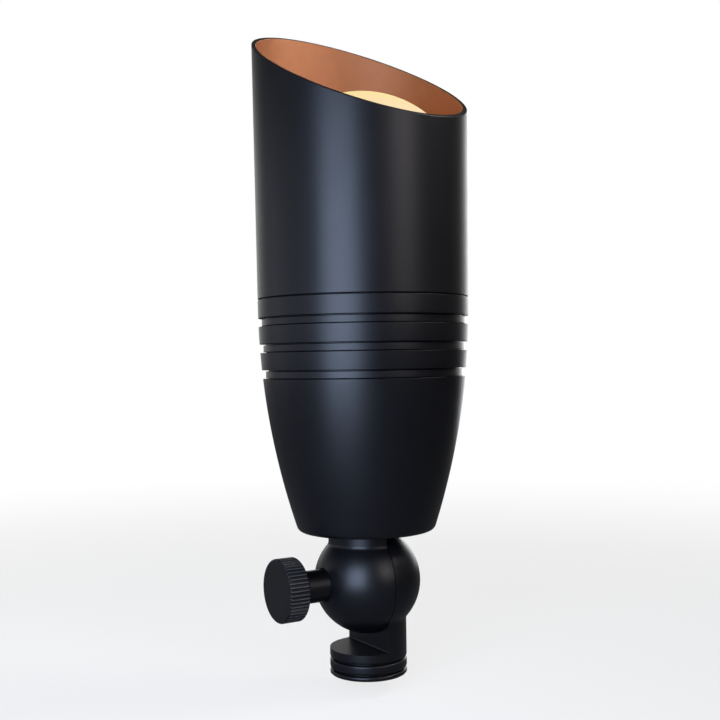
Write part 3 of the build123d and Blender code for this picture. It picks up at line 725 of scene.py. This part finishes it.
def ball_outline(neck_side):
    """Corners from the neck, round the fillet and over the ball to its far pole. 1 has the neck above."""
    corners = arc((fillet_out, fillet_rise), NECK_FILLET, pi, pi + ball_touch, NECK_STEPS)
    corners += arc((0, 0), BALL, ball_touch, -pi / 2, BALL_STEPS)[1:-1] + [(0.0, -BALL)]
    return [(r, PIVOT + neck_side * z) for r, z in corners]


print("fillet meets the ball", round(BALL * sin(ball_touch), 2), "mm from the pivot")

# %% [markdown]
# ## Cutting tools for the ball
# The halves are hollowed from the split face: a room for the wires round a boss, a seat for the friction
# washer, a groove for the ring seal, and the hole of the stud. All these are round about the tilt axis, so
# their tools are turned, laid along X and subtracted with a Boolean modifier. The wire holes run upright.

# %% Helpers for cutting
TOOL_STEPS, DRILL_STEPS = 96, 48
WIRE_HOLE = 3.6


def block(name, low, high):
    """A box between two corners in millimetres."""
    leave_edit_mode()
    bpy.ops.mesh.primitive_cube_add(size=1)
    piece = bpy.context.object
    piece.name = piece.data.name = name
    piece.location = [(a + b) / 2 * MM for a, b in zip(low, high)]
    piece.scale = [(b - a) * MM for a, b in zip(low, high)]
    bpy.ops.object.transform_apply(location=True, rotation=True, scale=True)
    return piece


def carve(piece, tool):
    """Subtract a tool object with a Boolean modifier, and remove the tool."""
    only(piece)
    bpy.ops.object.modifier_add(type="BOOLEAN")
    cut = piece.modifiers[-1]
    cut.operation = "DIFFERENCE"
    cut.object = tool
    cut.solver = "EXACT"
    bpy.ops.object.modifier_apply(modifier=cut.name)
    bpy.data.objects.remove(tool)


def lay_along_x(piece, towards_plus):
    """Lay a piece that was turned about Z along the X axis, at the height of the pivot."""
    only(piece)
    piece.rotation_euler = (0, pi / 2 if towards_plus else -pi / 2, 0)
    piece.location = (0, 0, PIVOT * MM)
    bpy.ops.object.transform_apply(location=True, rotation=True, scale=True)


def bore(piece, name, profile, towards_plus, looped=False):
    """Cut a hollow that is round about the tilt axis."""
    tool = turn(name, profile, looped=looped, steps=TOOL_STEPS)
    lay_along_x(tool, towards_plus)
    carve(piece, tool)


def drill_for_wires(piece, first, last, sideways):
    """Drill an upright wire hole between two heights, to one side of the middle."""
    tool = turn("wire_drill", [(WIRE_HOLE, first), (WIRE_HOLE, last)], steps=DRILL_STEPS)
    bpy.ops.transform.translate(value=(sideways * MM, 0, 0))
    carve(piece, tool)


print("cutting helpers ready")

# %% [markdown]
# ## Head half of the knuckle
# The head half is turned as a whole ball with its neck and a hollow nipple, which goes through the floor of
# the housing. A box then takes away the side of the other half, and a spherical hollow under the nipple
# leaves room for that half when the head tilts. The split is cut a little wider than the parts fit, so
# that the seam shows as the fine dark line that it is.

# %% Head half
SPLIT, SPLIT_SHOWN = 0.05, 0.14
CLEAR = 40.0
NIPPLE_RADIUS, NIPPLE_BORE = 10.5, 6.5
NIPPLE_TOP, NIPPLE_FLOOR = 67.3, 54.8
TILT_CLEARANCE, TILT_STEPS = 0.4, 24
head_profile = [
    (NIPPLE_BORE, NIPPLE_FLOOR),
    (NIPPLE_BORE, NIPPLE_TOP),
    (NIPPLE_RADIUS, NIPPLE_TOP),
    (NIPPLE_RADIUS, HOUSING_BOTTOM),
    (STEM, HOUSING_BOTTOM),
]
head_half = turn("head_half", head_profile + ball_outline(1))
neck_clear = HOUSING_BOTTOM + SPLIT
carve(head_half, block("stem_side", (-SPLIT_SHOWN, -CLEAR, -CLEAR), (CLEAR, CLEAR, neck_clear)))
tilt_radius = BALL + TILT_CLEARANCE
tilt_profile = arc((0, PIVOT), tilt_radius, 0.0, pi / 2, TILT_STEPS)[:-1] + [(0.0, PIVOT + tilt_radius)]
tilt_room = turn("tilt_room", tilt_profile)
carve(tilt_room, block("head_side", (-CLEAR, -CLEAR, -CLEAR), (-SPLIT, CLEAR, 2 * CLEAR)))
carve(head_half, tilt_room)
print("head half has", len(head_half.data.polygons), "faces before its hollows")

# %% [markdown]
# ## Hollows of the head half
# A counterbore from outside takes the shoulder of the thumbscrew, and the hole of its stud goes on to the
# split. The wire room is a ring round the boss, and a drilled hole leads from it up into the nipple.

# %% Hollows of the head half
RECESS_RADIUS, RECESS_SEAT = 6.0, 13.0
STUD_HOLE = 3.3
BOSS, WIRE_ROOM, WIRE_ROOM_DEPTH = 7.6, 12.4, 8.5
WIRE_HOLE_OFFSET = 5.6
OVERCUT = 1.0
wire_room_middle = (BOSS + WIRE_ROOM) / 2
wire_room_end = SPLIT + WIRE_ROOM_DEPTH
recess_profile = [
    (RECESS_RADIUS, BALL + OVERCUT),
    (RECESS_RADIUS, RECESS_SEAT),
    (STUD_HOLE, RECESS_SEAT),
    (STUD_HOLE, -OVERCUT),
]
head_room_profile = [
    (BOSS, -OVERCUT),
    (BOSS, wire_room_end),
    (WIRE_ROOM, wire_room_end),
    (WIRE_ROOM, -OVERCUT),
]
bore(head_half, "recess_tool", recess_profile, towards_plus=False)
bore(head_half, "head_room", head_room_profile, towards_plus=False, looped=True)
drill_for_wires(head_half, PIVOT + wire_room_middle, NIPPLE_FLOOR + OVERCUT, -WIRE_HOLE_OFFSET)
finish_piece(head_half, "head", ["knuckle_head_half"], satin_black)

# %% [markdown]
# ## Stem half and base
# The stem half is the mirror form with its neck below, on a round base with rounded ribs and a bore for a
# pipe. It is turned whole as well, and a box takes away the side of the head half above the base. One edge
# of the box is bevelled round first, which leaves a small fillet at the foot of the split face, as in a
# casting.

# %% Stem half
BASE_HEIGHT, BASE_EDGE = 9.3, 0.4
BASE_LAND, BASE_GROOVE, BASE_GROOVE_DEPTH = 3.3, 0.5, 1.4
BASE_GROOVES = 2
RIB_ROUND, RIB_STEPS = 0.75, 4
SPLIT_FILLET, SPLIT_FILLET_STEPS = 0.6, 4
THREAD_RADIUS, THREAD_DEPTH = 9.6, 7.0
stem_profile = [
    (THREAD_RADIUS, THREAD_DEPTH),
    (THREAD_RADIUS, 0.0),
    (STEM - BASE_EDGE, 0.0),
    (STEM, BASE_EDGE),
]
groove_low = BASE_HEIGHT - BASE_GROOVES * (BASE_LAND + BASE_GROOVE)
base_groove_floor = STEM - BASE_GROOVE_DEPTH
rib_edge = STEM - RIB_ROUND
for _ in range(BASE_GROOVES):
    groove_high = groove_low + BASE_GROOVE
    stem_profile += arc((rib_edge, groove_low - RIB_ROUND), RIB_ROUND, 0.0, pi / 2, RIB_STEPS)
    stem_profile += [(base_groove_floor, groove_low), (base_groove_floor, groove_high)]
    stem_profile += arc((rib_edge, groove_high + RIB_ROUND), RIB_ROUND, -pi / 2, 0.0, RIB_STEPS)
    groove_low = groove_high + BASE_LAND
stem_half = turn("stem_half", stem_profile + ball_outline(-1))
head_side = block("head_side", (-CLEAR, -CLEAR, BASE_HEIGHT), (SPLIT_SHOWN, CLEAR, 2 * CLEAR))
bpy.ops.object.mode_set(mode="EDIT")
bpy.ops.mesh.select_mode(type="EDGE")
bpy.ops.mesh.select_all(action="DESELECT")
bpy.ops.object.mode_set(mode="OBJECT")
for edge in head_side.data.edges:
    ends = [head_side.data.vertices[number].co for number in edge.vertices]
    edge.select = all(end.x > 0 and end.z < PIVOT * MM for end in ends)
bpy.ops.object.mode_set(mode="EDIT")
bpy.ops.mesh.bevel(
    offset=SPLIT_FILLET * MM, segments=SPLIT_FILLET_STEPS, profile=EVEN_ROUND, affect="EDGES"
)
carve(stem_half, head_side)
print("stem half has", len(stem_half.data.polygons), "faces before its hollows")

# %% [markdown]
# ## Hollows of the stem half
# The bore of the stud, the seat of the friction washer, the wire room and the groove of the ring seal lie
# one outside the other, so a single stepped tool cuts them all. The wire hole leads down into the base.

# %% Hollows of the stem half
STUD_BORE, STUD_BORE_DEPTH = 3.08, 12.5
WASHER_SEAT = 1.0
SEAL_INNER, SEAL_OUTER, SEAL_DEPTH = 14.2, 16.2, 1.2
stem_room_profile = [
    (STUD_BORE, SPLIT + STUD_BORE_DEPTH),
    (STUD_BORE, WASHER_SEAT),
    (BOSS, WASHER_SEAT),
    (BOSS, wire_room_end),
    (WIRE_ROOM, wire_room_end),
    (WIRE_ROOM, SPLIT / 2),
    (SEAL_INNER, SPLIT / 2),
    (SEAL_INNER, SPLIT + SEAL_DEPTH),
    (SEAL_OUTER, SPLIT + SEAL_DEPTH),
    (SEAL_OUTER, -OVERCUT),
]
bore(stem_half, "stem_room", stem_room_profile, towards_plus=True)
drill_for_wires(stem_half, THREAD_DEPTH - OVERCUT, PIVOT - wire_room_middle, WIRE_HOLE_OFFSET)
print("stem half has", len(stem_half.data.polygons), "faces")

# %% [markdown]
# ## Thread in the base
# The base screws onto a pipe nipple with fourteen threads to the inch. A triangle is swept by a Screw
# modifier into a helical rib, its ends are closed, and a Boolean difference cuts it out of the bore, as a
# tap would.

# %% Base thread
INCH, THREADS_PER_INCH = 25.4, 14
THREAD_CUT, THREAD_TURNS = 0.95, 4
THREAD_FLANK = radians(30)
THREAD_STEPS = 64
TAP_ROOT = 0.4
thread_pitch = INCH / THREADS_PER_INCH
tap_half = (THREAD_CUT + TAP_ROOT) * tan(THREAD_FLANK)
tap_corners = [(-TAP_ROOT, -tap_half), (THREAD_CUT, 0.0), (-TAP_ROOT, tap_half)]
leave_edit_mode()
bpy.ops.mesh.primitive_circle_add(vertices=len(tap_corners), radius=thread_pitch / 2 * MM)
tap = bpy.context.object
tap.name = tap.data.name = "tap"
for vertex, (out, along) in zip(tap.data.vertices, tap_corners):
    vertex.co = Vector((THREAD_RADIUS + out, 0, along - thread_pitch)) * MM
only(tap)
bpy.ops.object.modifier_add(type="SCREW")
sweep = tap.modifiers[-1]
sweep.screw_offset = thread_pitch * MM
sweep.iterations = THREAD_TURNS
sweep.steps = sweep.render_steps = THREAD_STEPS
bpy.ops.object.modifier_apply(modifier=sweep.name)
bpy.ops.object.mode_set(mode="EDIT")
close_mesh()
tap_top = max(v.co.z for v in tap.data.vertices)
carve(stem_half, tap)
finish_piece(stem_half, "stem", ["knuckle_stem_half"], satin_black)
print("thread reaches", round(tap_top / MM, 1), "mm up")

# %% [markdown]
# ## Thumbscrew knob
# The knob is turned from the shoulder to its flat face. Its rim has four vertices to each tooth of the
# straight knurl: two of every four are scaled inwards, which makes the grooves, and a tiny bevel takes the
# edge off the crests. The turned piece is then laid along the axis of the screw.

# %% Thumbscrew knob
KNOB_RADIUS, KNOB_NEAR, KNOB_FAR, KNOB_CHAMFER = 11.1, 29.1, 36.6, 0.45
SHOULDER_RADIUS, SHOULDER_END = 5.7, 14.0
STUD_RADIUS, STUD_SEAT = 3.0, 24.0
KNURLS, KNURL_DEPTH, KNURL_STEPS, KNURL_LOW_STEPS = 50, 0.45, 4, 2
RIM_TOLERANCE = 0.1
KNOB_EDGE, KNOB_EDGE_SEGMENTS, KNOB_SHARP = 0.05, 1, radians(30)
knob_inner = KNOB_RADIUS - KNOB_CHAMFER
knob_profile = [
    (STUD_RADIUS, STUD_SEAT),
    (STUD_RADIUS, SHOULDER_END),
    (SHOULDER_RADIUS, SHOULDER_END),
    (SHOULDER_RADIUS, KNOB_NEAR),
    (knob_inner, KNOB_NEAR),
    (KNOB_RADIUS, KNOB_NEAR + KNOB_CHAMFER),
    (KNOB_RADIUS, KNOB_FAR - KNOB_CHAMFER),
    (knob_inner, KNOB_FAR),
]
knob_piece = turn("knurled_knob", knob_profile, steps=KNURL_STEPS * KNURLS)
bpy.ops.mesh.select_mode(type="VERT")
bpy.ops.mesh.select_all(action="DESELECT")
bpy.ops.object.mode_set(mode="OBJECT")
knurl_step = 2 * pi / KNURLS / KNURL_STEPS
for vertex in knob_piece.data.vertices:
    on_rim = vertex.co.xy.length > (KNOB_RADIUS - RIM_TOLERANCE) * MM
    step = round(atan2(vertex.co.y, vertex.co.x) / knurl_step)
    vertex.select = on_rim and step % KNURL_STEPS < KNURL_LOW_STEPS
bpy.ops.object.mode_set(mode="EDIT")
knurl_gain = (KNOB_RADIUS - KNURL_DEPTH) / KNOB_RADIUS
bpy.ops.transform.resize(value=(knurl_gain, knurl_gain, 1), center_override=(0, 0, 0))
soften_edges(KNOB_EDGE, segments=KNOB_EDGE_SEGMENTS, sharp=KNOB_SHARP)
lay_along_x(knob_piece, towards_plus=False)
print("knob with", KNURLS, "teeth,", round(KNOB_FAR - KNOB_NEAR, 1), "mm thick")

# %% [markdown]
# ## Worn crests of the knurl, with a painted highlight
# Fingers polish the crests of a knurl, so the coat there turns smoother. Its paler tone there is a painted
# highlight, which stands in for the light that the crests catch. The distance from the axis of the screw
# gives the mask: it starts a little below the crests and is full at their tops.

# %% Knob finish
# The paler crest tone is a painted highlight on the crests, over their real polish.
CREST_WEAR_AND_HIGHLIGHT_TONE = (0.045, 0.045, 0.046)
CREST_ROUGHNESS = 0.27
CREST_WEAR_AND_HIGHLIGHT_SHARE = 0.35
CREST_GRAIN = dict(tone_spread=0.30, roughness_spread=0.04, mottle_mm=1.5, grain_mm=0.3)
ACROSS_X = (0, 1, 1)
knob_finish, knob_tree, knob_shader = new_finish("black_coat_worn_crests_painted_highlight")
knob_place = new_node(knob_tree, "ShaderNodeTexCoord").outputs["Object"]
from_pivot = {0: knob_place, 1: (0, 0, PIVOT * MM)}
knob_offset = new_node(knob_tree, "ShaderNodeVectorMath", from_pivot, operation="SUBTRACT").outputs[0]
knob_distance = distance_from_axis(knob_tree, knob_offset, ACROSS_X)
crest_wear_and_highlight_start = (KNOB_RADIUS - CREST_WEAR_AND_HIGHLIGHT_SHARE * KNURL_DEPTH) * MM
# This mask carries both the polished crests and their painted highlight.
crest_wear_and_highlight_mask = eased(knob_tree, knob_distance, crest_wear_and_highlight_start, KNOB_RADIUS * MM)
knob_coat = place_grain(knob_tree, COAT_TONE, roughness=COAT_ROUGHNESS, **COAT_GRAIN)
knob_crest_wear_and_highlight = place_grain(knob_tree, CREST_WEAR_AND_HIGHLIGHT_TONE, roughness=CREST_ROUGHNESS, **CREST_GRAIN)
mix_by_mask(knob_tree, crest_wear_and_highlight_mask, knob_coat, knob_crest_wear_and_highlight)
join(knob_tree, COAT_SPECULAR, knob_shader.inputs["Specular IOR Level"])
bump_from(knob_tree, knob_coat["Height"], COAT_BUMP, COAT_BUMP_MM)
finish_piece(knob_piece, "thumbscrew", ["thumbscrew_knob"], knob_finish)

# %% [markdown]
# ## Lamp glass
# The lamp is a reflector bulb: its dome is frosted and glows a warm white, and below its widest ring the
# glass is silvered inside. The CAD glass has the right shape, so only its finish is made here. The height
# on the piece picks the frosted or the silvered part.

# %% Lamp glass
LAMP_EDGE, FROST_BLEND = 188.5, 1.5
FROST_TONE, FROST_ROUGHNESS = (0.20, 0.15, 0.08), 0.55
FROST_GRAIN = dict(tone_spread=0.04, roughness_spread=0.05, mottle_mm=6.0, grain_mm=0.25)
FROST_BUMP, FROST_BUMP_MM = 0.15, 0.01
SILVER_TONE, SILVER_ROUGHNESS = (0.72, 0.71, 0.69), 0.12
SILVER_GRAIN = dict(tone_spread=0.05, roughness_spread=0.04, mottle_mm=12.0, grain_mm=0.6)
lamp_finish, lamp_tree, lamp_shader = new_finish("frosted_reflector_glass")
lamp_place = new_node(lamp_tree, "ShaderNodeTexCoord").outputs["Object"]
lamp_height = new_node(lamp_tree, "ShaderNodeSeparateXYZ", {0: lamp_place}).outputs["Z"]
frost_low, frost_high = (LAMP_EDGE - FROST_BLEND) * MM, (LAMP_EDGE + FROST_BLEND) * MM
frosted = eased(lamp_tree, lamp_height, frost_low, frost_high)
frost = place_grain(lamp_tree, FROST_TONE, roughness=FROST_ROUGHNESS, **FROST_GRAIN)
silver = place_grain(lamp_tree, SILVER_TONE, roughness=SILVER_ROUGHNESS, **SILVER_GRAIN)
mix_by_mask(lamp_tree, frosted, silver, frost)
silvered = worked_out(lamp_tree, "SUBTRACT", 1.0, frosted)
join(lamp_tree, silvered, lamp_shader.inputs["Metallic"])
bump_from(lamp_tree, frost["Height"], FROST_BUMP, FROST_BUMP_MM)
print("lamp glass frosted above", LAMP_EDGE, "mm")

# %% [markdown]
# ## Glow of the dome
# The lit dome is bright all over, and a deeper yellow towards its middle, nearest to the source. The
# distance from the axis mixes both tones, and the frost mask keeps the glow off the silvered glass.

# %% Glow of the dome
LAMP_RADIUS, GLOW_CORE = 31.75, 0.35
GLOW_EDGE, GLOW_MIDDLE = (0.95, 0.72, 0.46, 1), (1.0, 0.80, 0.34, 1)
GLOW_STRENGTH = 0.80
DARK = (0, 0, 0, 1)
lamp_away = distance_from_axis(lamp_tree, lamp_place)
glow_share = eased(lamp_tree, lamp_away, LAMP_RADIUS * MM, GLOW_CORE * LAMP_RADIUS * MM)
glow_tone = mixed_colors(lamp_tree, glow_share, GLOW_EDGE, GLOW_MIDDLE)
glow_shown = mixed_colors(lamp_tree, frosted, DARK, glow_tone)
join(lamp_tree, glow_shown, lamp_shader.inputs["Emission Color"])
join(lamp_tree, GLOW_STRENGTH, lamp_shader.inputs["Emission Strength"])
wear_finish(frame["nodes"]["lamp_envelope"], lamp_finish)
print("dome glows at a strength of", GLOW_STRENGTH)

# %% [markdown]
# ## Finishes of the parts inside
# The rest of the CAD parts keep their shape and get the finish of their real material: glazed porcelain,
# glass, mill aluminium, zinc plate, brass, nickel, rubber, silicone, fibre, plastics and wire insulation.
# Some show when the hood is pulled off, so each has its own grain. Each finish goes to all parts of one
# material slot.

# %% Finishes of the parts inside
inside_finishes = {
    "porcelain": grained_finish("glazed_porcelain", (0.80, 0.77, 0.70), 0.16, tone_spread=0.05,
                                mottle_mm=6.0, grain_mm=1.2, strength=0.10, depth_mm=0.03),
    "insulator_glass": grained_finish("black_glass", (0.012, 0.012, 0.015), 0.10, grain_mm=0.8,
                                      depth_mm=0.01),
    "plate_aluminium": turned_finish("mill_aluminium", (0.66, 0.66, 0.67), 0.32, ring_mm=0.35),
    "zinc_steel": turned_finish("zinc_plate", (0.60, 0.60, 0.57), 0.30, ring_mm=0.15, tone_spread=0.10),
    "contact_brass": turned_finish("bright_brass", (0.72, 0.50, 0.22), 0.24, ring_mm=0.20),
    "cap_nickel": turned_finish("nickel_plate", (0.66, 0.64, 0.60), 0.22, ring_mm=0.20),
    "black_rubber": grained_finish("black_rubber", (0.014, 0.014, 0.014), 0.70, grain_mm=0.25,
                                   strength=0.3),
    "silicone": grained_finish("silicone_pad", (0.62, 0.58, 0.53), 0.60, mottle_mm=4.0, grain_mm=0.5),
    "friction_fibre": grained_finish("pressed_fibre", (0.26, 0.15, 0.09), 0.85, tone_spread=0.30,
                                     mottle_mm=1.2, grain_mm=0.2, strength=0.5, depth_mm=0.05),
    "bushing_plastic": grained_finish("black_nylon", (0.020, 0.020, 0.021), 0.45, grain_mm=0.3),
    "lead_black": grained_finish("black_insulation", (0.014, 0.014, 0.015), 0.42, grain_mm=0.5),
    "lead_white": grained_finish("white_insulation", (0.78, 0.78, 0.74), 0.42, tone_spread=0.04,
                                 grain_mm=0.5),
    "connector_plastic": grained_finish("yellow_plastic", (0.70, 0.46, 0.05), 0.38, tone_spread=0.06),
    "ground_green": grained_finish("green_dyed_steel", (0.02, 0.22, 0.06), 0.35, metallic=0.6,
                                   grain_mm=0.3),
}
for subpart in frame["record"]["subparts"]:
    if subpart["material_slot"] in inside_finishes:
        wear_finish(frame["nodes"][subpart["node"]], inside_finishes[subpart["material_slot"]])
print(len(inside_finishes), "finishes on the parts inside")
